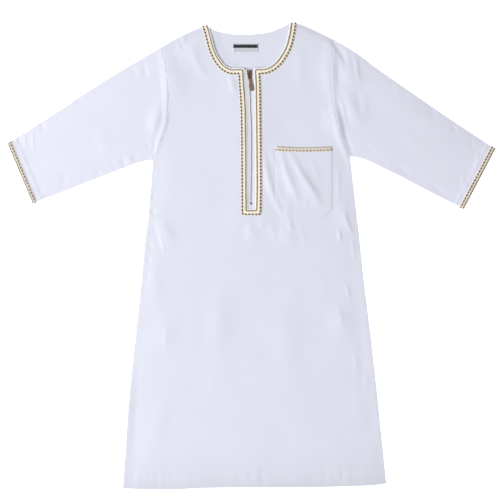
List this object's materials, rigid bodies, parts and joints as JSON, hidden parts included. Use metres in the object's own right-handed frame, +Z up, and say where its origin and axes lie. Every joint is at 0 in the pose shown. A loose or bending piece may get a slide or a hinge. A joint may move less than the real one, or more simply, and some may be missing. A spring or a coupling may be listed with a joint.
{
  "type": "thobe robe",
  "caption": "Child's long-sleeved A-line thobe robe laid out flat, with gold braid at neck, placket, pocket and cuffs, and a zip with a hinged pull tab.",
  "frame": {"origin": "middle of the laid-out robe's box, on the surface that it lies on", "axes": "+X towards the wearer's left cuff, +Y towards the neck, +Z up through the front"},
  "size_m": [0.9515, 0.911, 0.0087],
  "materials": {
    "cotton_front": "plain white cotton blend, matt",
    "cotton_back": "plain white cotton blend, matt, inside face",
    "cotton_sleeve": "plain white cotton blend, matt",
    "gold_braid": "cream and gold woven braid with a row of dark gold dots",
    "zip_tape": "white woven tape",
    "zip_teeth": "grey metal teeth",
    "zip_metal": "dark antique gold",
    "label": "white satin woven label, bare"
  },
  "bodies": {
    "garment": {"front_panel": "cotton_front", "back_panel": "cotton_back", "sleeve_right": "cotton_sleeve", "sleeve_left": "cotton_sleeve", "chest_pocket": "cotton_front", "neck_placket_braid": "gold_braid", "pocket_braid": "gold_braid", "cuff_braid_right": "gold_braid", "cuff_braid_left": "gold_braid", "zip_tape_right": "zip_tape", "zip_tape_left": "zip_tape", "zip_chain": "zip_teeth", "zip_stop_bottom": "zip_teeth", "zip_stop_top_right": "zip_metal", "zip_stop_top_left": "zip_metal", "zip_slider": "zip_metal", "neck_label": "label"},
    "pull_tab": {"zip_pull": "zip_metal"}
  },
  "joints": [
    {"name": "pull_hinge", "type": "hinge", "parent": "garment", "child": "pull_tab", "pos_m": [-0.0034, 0.3466, 0.0065], "axis": [-0.9986, -0.0523, 0], "range_deg": [0, 170]}
  ]
}
